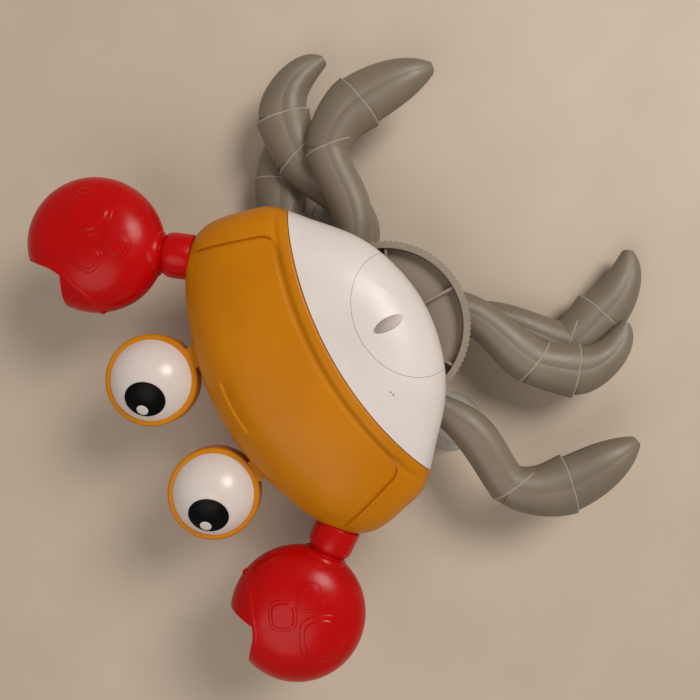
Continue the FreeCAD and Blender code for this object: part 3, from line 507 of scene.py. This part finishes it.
print("orange shell:", len(orange_shell.data.vertices), "points, corner at",
      round(math.degrees(corner_way), 1), "degrees")

# %% [markdown]
# ## Details that lie on a CAD part
# The claws carry raised pads with a stepped edge, the legs have a thin proud cuff at each joint, and
# the pupils have a white print that looks like a glint. Each of these hugs a curved surface. The way to
# make them is to look straight down on the CAD part, find its height at each point of a small sheet,
# and add the detail's own height. The rim of most such sheets dives just under the surface, so no gap
# shows.

# %% Finding the surface of a CAD part
ABOVE_ALL = 0.2
SMALLEST_RING, THINNEST = 0.02, 0.02
SLOPE_STEP, TAPER, RIM_DIVE = 0.3, 8, 0.08


def surface_of(*names):
    """A function that gives the height of the named parts' top at a place, in millimetres."""
    shape = bmesh.new()
    for name in names:
        shape.from_mesh(nodes[name].data)
    tree = BVHTree.FromBMesh(shape)
    shape.free()

    def height(x, y, missing=None):
        hit = tree.ray_cast(Vector((x * MM, y * MM, ABOVE_ALL)), Vector((0, 0, -1)))[0]
        return hit.z / MM if hit else missing

    return height


def laid_sheet(name, height, middle, half, turn, profile, power, material, body, rings=26, spokes=72):
    """A rounded patch on a surface; profile gives its height from the middle (0) to the rim (1)."""
    cos_turn, sin_turn = math.cos(math.radians(turn)), math.sin(math.radians(turn))
    base = height(*middle)
    rows = []
    for ring in range(rings + 1):
        share = max(ring / rings, SMALLEST_RING)
        row = []
        for spoke in range(spokes):
            angle = 2 * math.pi * spoke / spokes
            c, t = math.cos(angle), math.sin(angle)
            reach = share / (abs(c) ** power + abs(t) ** power) ** (1 / power)
            u, v = half[0] * reach * c, half[1] * reach * t
            x = middle[0] + u * cos_turn - v * sin_turn
            y = middle[1] + u * sin_turn + v * cos_turn
            row.append((x * MM, y * MM, (height(x, y, base) + profile(share)) * MM))
        rows.append(row)
    piece = sheet_mesh(name, rows, material, closed=True)
    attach(piece, body)
    return piece


def ribbon(name, height, path, width, rise, material, body, count=60, across=9):
    """A soft ridge on a surface along a smooth path, raised square to the surface."""
    path = np.array(path, float)
    steps = np.concatenate([[0], np.cumsum(np.linalg.norm(np.diff(path, axis=0), axis=1))])
    slopes = np.gradient(path, steps, axis=0)
    rows = []
    for length in np.linspace(0, steps[-1], count):
        index = min(np.searchsorted(steps, length, side="right") - 1, len(path) - 2)
        span = steps[index + 1] - steps[index]
        share = (length - steps[index]) / span
        spot = between(path[index], path[index + 1], slopes[index], slopes[index + 1], span, share)
        ahead = (1 - share) * slopes[index] + share * slopes[index + 1]
        side = np.array([-ahead[1], ahead[0]]) / np.linalg.norm(ahead)
        taper = min(1, TAPER * min(length, steps[-1] - length) / steps[-1])
        base = height(*spot, PARTING)
        row = []
        for offset in np.linspace(-1, 1, across):
            x, y = spot + side * offset * width / 2
            top = height(x, y, base)
            fall_x = top - height(x + SLOPE_STEP, y, top)
            fall_y = top - height(x, y + SLOPE_STEP, top)
            normal = Vector((fall_x, fall_y, SLOPE_STEP)).normalized()
            proud = rise * taper * math.cos(offset * math.pi / 2) - RIM_DIVE * abs(offset) ** 3
            row.append((Vector((x, y, top)) + normal * proud) * MM)
        rows.append(row)
    piece = sheet_mesh(name, rows, material)
    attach(piece, body)
    return piece


def turned_piece(name, profile, origin, axis, material, body, spokes=64, shift=lambda angle: 0):
    """A piece turned on a lathe; the profile lists distance along the axis, radius and share of the shift."""
    axis = Vector(axis).normalized()
    side = axis.cross(Vector((0, 0, 1)))
    other = axis.cross(side)
    angles = np.linspace(0, 2 * math.pi, spokes, endpoint=False)
    rows = [[(Vector(origin) + axis * (run + lean * shift(angle))
              + (side * math.cos(angle) + other * math.sin(angle)) * radius) * MM for angle in angles]
            for run, radius, lean in profile]
    piece = sheet_mesh(name, rows, material, closed=True)
    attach(piece, body)
    return piece


print("surface helpers ready")

# %% [markdown]
# ## Pads on the claws
# Each claw has one large pad and two small ones, rounded rectangles with a double edge: an outer step
# of about a third of a millimetre and, further in, one of about four tenths. They are part of the
# moulding, so they have the claw's own red plastic and ride with the claw.

# %% The claw pads
CLAW_X, CLAW_Y = 97.0, 99.7
PADS = [((11.3, -6.7), (11.2, 9.7), 22), ((-7.6, -10.7), (6.5, 5.7), 30), ((-6.4, 3.0), (7.1, 6.5), 25)]
PAD_POWER, PAD_RINGS = 3.2, 40
OUTER_STEP, OUTER_DIVE, INNER_STEP = 0.36, 0.12, 0.42


def pad_profile(share):
    rim = smooth_step(0.93, 1.0, share)
    return OUTER_STEP * (1 - rim) - OUTER_DIVE * rim + INNER_STEP * (1 - smooth_step(0.70, 0.78, share))


for side, sign in (("left", 1), ("right", -1)):
    claw_height = surface_of(f"claw_front_{side}")
    for number, ((x, y), half, turn) in enumerate(PADS, 1):
        laid_sheet(f"claw_pad_{side}_{number}", claw_height, (sign * (CLAW_X + x), CLAW_Y + y), half,
                   sign * turn, pad_profile, PAD_POWER, red_abs, f"claw_{side}", rings=PAD_RINGS)
print("claw pads:", 2 * len(PADS))

# %% [markdown]
# ## Ridges, nubs and wrists
# A soft ridge runs along the mouth of each claw and on across the small jaw, where it ends in a nub at
# the outline: it is the flash line where the mould's halves and its core met. The wrists are barrels
# with a rounded shoulder towards the claw, so a narrow notch shows between barrel and ball.

# %% The ridges, the nubs and the wrists
RIDGE = [(7.4, 27.6), (3.4, 24.3), (-2.4, 19.4), (-7.0, 17.0), (-13.3, 15.2), (-20.6, 12.8), (-27.4, 11.2)]
RIDGE_WIDTH, RIDGE_RISE = 2.6, 0.5
NUB, NUB_HEIGHT = (-27.8, 11.6), 56.0
NUB_RADIUS = 2.1
WRIST_TILT = math.radians(53.9)
CLAW_RADIUS, CLAW_DEPTH, CLAW_FULLNESS = 31.4, 17, 2.5
WRIST_RADIUS, WRIST_RIM, NOTCH_RADIUS, NOTCH_AT = 10.6, 29.5, 8.4, 30.7


def claw_rim(angle):
    """How far the claw's rounded side lets the barrel's surface show, from the place at its flank."""
    across, up = WRIST_RADIUS * math.cos(angle), WRIST_RADIUS * math.sin(angle)
    reach = CLAW_RADIUS * (1 - (up / CLAW_DEPTH) ** 2) ** (1 / CLAW_FULLNESS)
    return math.sqrt(reach ** 2 - across ** 2) - WRIST_RIM


WRIST_PROFILE = [(27.6, 0.05, 1), (27.6, 9.6, 1), (29.2, WRIST_RADIUS, 1)]
for turn in np.linspace(0, math.pi / 2, 9):
    run = WRIST_RIM + (NOTCH_AT - WRIST_RIM) * math.sin(turn)
    radius = WRIST_RADIUS - (WRIST_RADIUS - NOTCH_RADIUS) * (1 - math.cos(turn))
    WRIST_PROFILE.append((run, radius, 1 - math.sin(turn)))
WRIST_PROFILE += [(run, radius, 0) for run, radius in [
    (30.9, 8.3), (31.3, 8.5), (32.1, 9.2), (33.0, 9.9), (34.0, 10.35), (35.2, 10.55), (36.5, WRIST_RADIUS),
    (44.4, WRIST_RADIUS), (44.9, 10.3), (45.0, 9.8), (45.0, 6.0), (51.0, 6.0), (51.0, 8.3), (51.2, 8.4),
    (52.8, 8.4), (53.0, 8.2), (53.0, 0.05)]]

nub_profile = [(-NUB_RADIUS * math.cos(turn), max(NUB_RADIUS * math.sin(turn), THINNEST), 0)
               for turn in np.linspace(0, math.pi, 15)]

for side, sign in (("left", 1), ("right", -1)):
    claw = f"claw_{side}"
    claw_height = surface_of(f"claw_front_{side}")
    ridge = [(sign * (CLAW_X + x), CLAW_Y + y) for x, y in RIDGE]
    ribbon(f"claw_ridge_{side}", claw_height, ridge, RIDGE_WIDTH, RIDGE_RISE, red_abs, claw)
    nub_middle = (sign * (CLAW_X + NUB[0]), CLAW_Y + NUB[1], NUB_HEIGHT)
    turned_piece(f"claw_nub_{side}", nub_profile, nub_middle, (1, 0, 0), red_abs, claw, spokes=28)
    inward = (-sign * math.cos(WRIST_TILT), -math.sin(WRIST_TILT), 0)
    wrist = turned_piece(f"wrist_barrel_{side}", WRIST_PROFILE, (sign * CLAW_X, CLAW_Y, PARTING), inward,
                         red_abs, claw, shift=claw_rim)
    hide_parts(f"wrist_{side}")
print("ridge length about", round(float(np.linalg.norm(np.diff(RIDGE, axis=0), axis=1).sum()), 1), "mm")

# %% [markdown]
# ## Marks on the belly
# The white cover has a low crease that runs in from its edge. On the other side of the belly two flecks
# of dried dirt sit on the white shell.

# %% The crease and the dirt
CREASE = [(23.5, -0.6), (17.0, -4.2), (11.0, -7.6)]
CREASE_WIDTH, CREASE_RISE = 4.0, 0.07
FLECKS = [((-26.4, 13.6), (0.55, 0.4)), ((-28.0, 13.0), (0.4, 0.6))]
FLECK_TURN, FLECK_RISE, FLECK_FALL = 20, 0.12, 0.2
dried_dirt = moulded_plastic("dried_dirt_crust", ("#6E5F57", "#7C6C63", "#8A7A70"), 0.8, 0.9, 0.3)
cover_height = surface_of("belly_cover")
ribbon("cover_crease", cover_height, CREASE, CREASE_WIDTH, CREASE_RISE, white_abs, "body")
belly_height = surface_of("belly_shell")


def fleck_profile(share):
    return FLECK_RISE - FLECK_FALL * share ** 3


for number, (spot, half) in enumerate(FLECKS, 1):
    laid_sheet(f"dirt_fleck_{number}", belly_height, spot, half, FLECK_TURN, fleck_profile, 2, dried_dirt,
               "body", rings=5, spokes=18)
print("crease", len(CREASE), "points; flecks:", len(FLECKS))

# %% [markdown]
# The thumb scoop is matt, and its colour carries painted shade: it is darker than the polished cover round
# it, most of all towards its deep end, where the hollow lies in shade. An oval sheet 0.04 mm over the
# cover's surface carries a plastic whose colour changes along it.

# %% The thumb scoop
SCOOP_HALF, SCOOP_RISE = (2.75, 7.4), 0.04
SHADE_LEAN, SHADE_SMEAR, SHADE_SPAN = 0.8, 3 * MM, 6 * MM


def painted_shade_scoop():
    """Matt plastic with painted shade: darker towards the scoop's deep end, which lies in shade."""
    material = moulded_plastic("matt_moulded_ABS_with_painted_shade", ("#8E817A", "#978A82", "#9F928A"),
                               0.62, 0.6, 0.8, shine=0.15)
    tree = material.node_tree
    shader = tree.nodes["Principled BSDF"]
    place = add_node(tree, "ShaderNodeTexCoord").outputs["Object"]
    parts = add_node(tree, "ShaderNodeSeparateXYZ", {"Vector": place})
    shade_noise = add_node(tree, "ShaderNodeTexNoise", {"Vector": place, "Scale": scale_for(2.5), "Detail": 3.0})
    along = add_node(tree, "ShaderNodeMath", {0: parts.outputs["X"], 1: SHADE_LEAN, 2: parts.outputs["Y"]},
                     operation="MULTIPLY_ADD")
    spread = add_node(tree, "ShaderNodeMath", {0: shade_noise.outputs["Fac"], 1: SHADE_SMEAR, 2: along.outputs[0]},
                      operation="MULTIPLY_ADD")
    # Painted shade: darker towards the scoop's deep end, lighter towards its shallow end.
    unshaded = add_node(tree, "ShaderNodeMapRange", {"Value": spread.outputs[0], "From Min": SHADE_SPAN,
                                                  "From Max": -SHADE_SPAN})
    base = shader.inputs["Base Color"].links[0].from_socket
    mixed = add_node(tree, "ShaderNodeMix", {"Factor": unshaded.outputs["Result"], "A": base,
                                             "B": colour("#D6CCC6")}, data_type="RGBA")
    tree.links.new(mixed.outputs["Result"], shader.inputs["Base Color"])
    return material


scoop_abs = painted_shade_scoop()
laid_sheet("scoop_floor", cover_height, (0, 0), SCOOP_HALF, 0, lambda share: SCOOP_RISE, 2, scoop_abs, "body",
           rings=16)
print("scoop", 2 * SCOOP_HALF[1], "mm long")

# %% [markdown]
# ## Glints on the pupils
# The bright dot at the lower edge of each pupil is printed, because it is at the same place in both
# eyes while the lamps' own reflections are elsewhere. It is an oval of white pad-printing ink, hardly
# thicker than a hair.

# %% The printed glints
GLINT_OFFSET = (-3.7, 3.6)
GLINT_HALF = (2.8, 2.3)
GLINT_TURN = 51
INK_HEIGHT, INK_DIVE = 0.10, 0.2
EYES = {"left": (29.7, 106.8), "right": (-29.7, 106.8)}
PUPIL_OFFSET = (-6.8, 4.8)
white_ink = moulded_plastic("pad_printed_white_ink", ("#D8CEC6", "#DED5CE", "#E2DAD4"), 0.30, 0.2, 0.8)


def glint_profile(share):
    return INK_HEIGHT - INK_DIVE * smooth_step(0.9, 1.0, share)


for side, (x, y) in EYES.items():
    middle = (x + PUPIL_OFFSET[0] + GLINT_OFFSET[0], y + PUPIL_OFFSET[1] + GLINT_OFFSET[1])
    eye_height = surface_of(f"pupil_{side}", f"eyeball_{side}")
    laid_sheet(f"pupil_glint_{side}", eye_height, middle, GLINT_HALF, GLINT_TURN, glint_profile, 2, white_ink,
               "body", rings=12)
print("glints at the pupils' lower edge:", GLINT_HALF, "mm half size")

# %% [markdown]
# ## Cuffs on the legs
# Where one leg segment overlaps the next, its end stands proud as a thin rounded band. It is paler than
# the rest: a painted highlight for the light its raised edge catches. Each cuff is a narrow strip laid over
# the leg's own surface from one side to the other: each point's height comes from the CAD leg under it,
# and at both sides the strip bends down over the leg's edge.

# %% The leg cuffs
# For each pair: its cam's phase and its own turn, in degrees, then its cuffs from the body outwards. Each
# cuff has a place on its segment, the segment's end where the cuff sits, and its reach to either side, all
# as shares of LEG_REACH.
LEG_REACH, THROW = 100, 12
PAIRS = {
    "front": (110, 0, [[(0.79, -0.265), (0.95, -0.285), 0.108], [(1.055, -0.445), (1.075, -0.54), 0.146]]),
    "middle": (-10, 20.3, [[(0.60, -0.30), (0.80, -0.31), 0.122], [(0.88, -0.35), (0.985, -0.415), 0.14]]),
    "rear": (-130, 38.4, [[(0.60, -0.265), (0.80, -0.27), 0.118], [(0.86, -0.37), (0.905, -0.49), 0.142]]),
}
CUFF_DROP, CUFF_TUCK, CUFF_EDGE, CUFF_POINTS = 3.0, 0.3, 0.22, 61
SIDE_STEP, SIDE_SLACK, SIDE_BACK, END_FROM = 0.2, 1.5, 0.5, -0.1
CUFF_SECTION = [(-0.85, -0.12), (-0.62, 0.16), (-0.32, 0.30), (-0.02, 0.30), (0.16, 0.14), (0.26, -0.12)]
# The cuffs' paler colour is a painted highlight along their raised edge.
cuff_highlight_pp = moulded_plastic("polypropylene_pale_grey_painted_highlight", ("#958A7B", "#9E9384", "#A69C8D"), 0.5, 0.6, 1.2)


def leg_side(height, start, way, most):
    """How far the leg's top goes on from a place, in steps of SIDE_STEP."""
    reach = 0
    while reach < most and height(*(start + way * (reach + SIDE_STEP))) is not None:
        reach += SIDE_STEP
    return reach


for pair, (phase, turn, joints) in PAIRS.items():
    leg_height = surface_of(f"{pair}_legs")
    centre = np.array([math.cos(math.radians(phase)), math.sin(math.radians(phase))]) * THROW
    turned = np.array([[math.cos(math.radians(turn)), -math.sin(math.radians(turn))],
                       [math.sin(math.radians(turn)), math.cos(math.radians(turn))]])
    for side, sign in (("left", 1), ("right", -1)):
        for level, (before, end, share) in enumerate(joints, 1):
            mirror = np.array([sign, 1])
            place = centre + turned @ (np.array(end) * mirror * LEG_REACH)
            along = turned @ ((np.array(end) - np.array(before)) * mirror)
            along = along / np.linalg.norm(along)
            across = np.array([-along[1], along[0]])
            spot = place - along * SIDE_BACK
            most = share * LEG_REACH + SIDE_SLACK
            sides = [leg_side(leg_height, spot, way * across, most) for way in (-1, 1)]
            offsets = np.concatenate([[-sides[0] - CUFF_EDGE] * 2,
                                      np.linspace(-sides[0], sides[1], CUFF_POINTS),
                                      [sides[1] + CUFF_EDGE] * 2])
            last = len(offsets) - 1
            drops = {0: CUFF_DROP, 1: CUFF_TUCK, last - 1: CUFF_TUCK, last: CUFF_DROP}
            rows = []
            for step, offset in enumerate(offsets):
                drop = drops.get(step, 0)
                held = min(max(offset, -sides[0]), sides[1])
                base = leg_height(*(spot + across * held))
                row = []
                for run, proud in CUFF_SECTION:
                    x, y = place + along * run + across * offset
                    top = base if run > END_FROM or drop else leg_height(x, y, base)
                    row.append((x * MM, y * MM, (top + proud - drop) * MM))
                rows.append(row)
            cuff = sheet_mesh(f"{pair}_cuff_{side}_{level}", rows, cuff_highlight_pp)
            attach(cuff, f"{pair}_pair")
print("cuffs:", 4 * len(PAIRS))

# %% [markdown]
# ## Floor
# The table is a plain pale surface. It carries a very soft mottle, so its colour isn't dead flat.

# %% The floor
FLOOR_Z = cad_low[2]
FLOOR_SIZE, MOTTLE_MM = 4.0, 60

floor_mesh = bpy.data.meshes.new("floor")
floor_shape = bmesh.new()
bmesh.ops.create_grid(floor_shape, x_segments=1, y_segments=1, size=FLOOR_SIZE)
floor_shape.to_mesh(floor_mesh)
floor_shape.free()
floor = bpy.data.objects.new("floor", floor_mesh)
floor.location = (0, 0, FLOOR_Z)
bpy.context.scene.collection.objects.link(floor)

floor_paint = bpy.data.materials.new("satin_painted_board_beige")
floor_paint.use_nodes = True
tree = floor_paint.node_tree
place = add_node(tree, "ShaderNodeTexCoord").outputs["Object"]
mottle = add_node(tree, "ShaderNodeTexNoise", {"Vector": place, "Scale": scale_for(MOTTLE_MM), "Detail": 4.0})
tone = ramp(tree, mottle.outputs["Fac"], (0.3, "#C2B29E"), (0.7, "#C8B9A6"))
tree.links.new(tone, tree.nodes["Principled BSDF"].inputs["Base Color"])
tree.nodes["Principled BSDF"].inputs["Roughness"].default_value = 0.6
floor_mesh.materials.append(floor_paint)
print("floor at z =", round(FLOOR_Z / MM, 2), "mm")

# %% [markdown]
# ## Light
# Light comes as it does in a bright room: from all round, from the world, and from two large soft lamps,
# the stronger of which stands beyond the upper right of the picture. Together they give a white surface
# the brightness of white and no more, so each colour renders about as it is written.

# %% The lamps and the world
LAMP_AIM = Vector((0, 0.03, 0.03))
WORLD_STRENGTH = 0.27


def soft_lamp(name, spot, size, watts, tint):
    data = bpy.data.lights.new(name, "AREA")
    data.shape = "DISK"
    data.size = size
    data.energy = watts
    data.color = colour(tint)[:3]
    lamp = bpy.data.objects.new(name, data)
    lamp.location = spot
    aim = LAMP_AIM - Vector(spot)
    lamp.rotation_euler = aim.to_track_quat("-Z", "Y").to_euler()
    bpy.context.scene.collection.objects.link(lamp)
    return lamp


key_lamp = soft_lamp("key_lamp", (0.15, -0.70, 0.95), 0.5, 8.4, "#FFF8F1")
fill_lamp = soft_lamp("fill_lamp", (-0.35, 0.55, 1.1), 0.9, 4.0, "#FFF6F0")

world = bpy.data.worlds.new("room")
world.use_nodes = True
world.node_tree.nodes["Background"].inputs["Color"].default_value = colour("#FFFAF6")
world.node_tree.nodes["Background"].inputs["Strength"].default_value = WORLD_STRENGTH
bpy.context.scene.world = world
bpy.context.scene.view_settings.view_transform = "Standard"
print("lamps:", key_lamp.data.energy, fill_lamp.data.energy, "W")
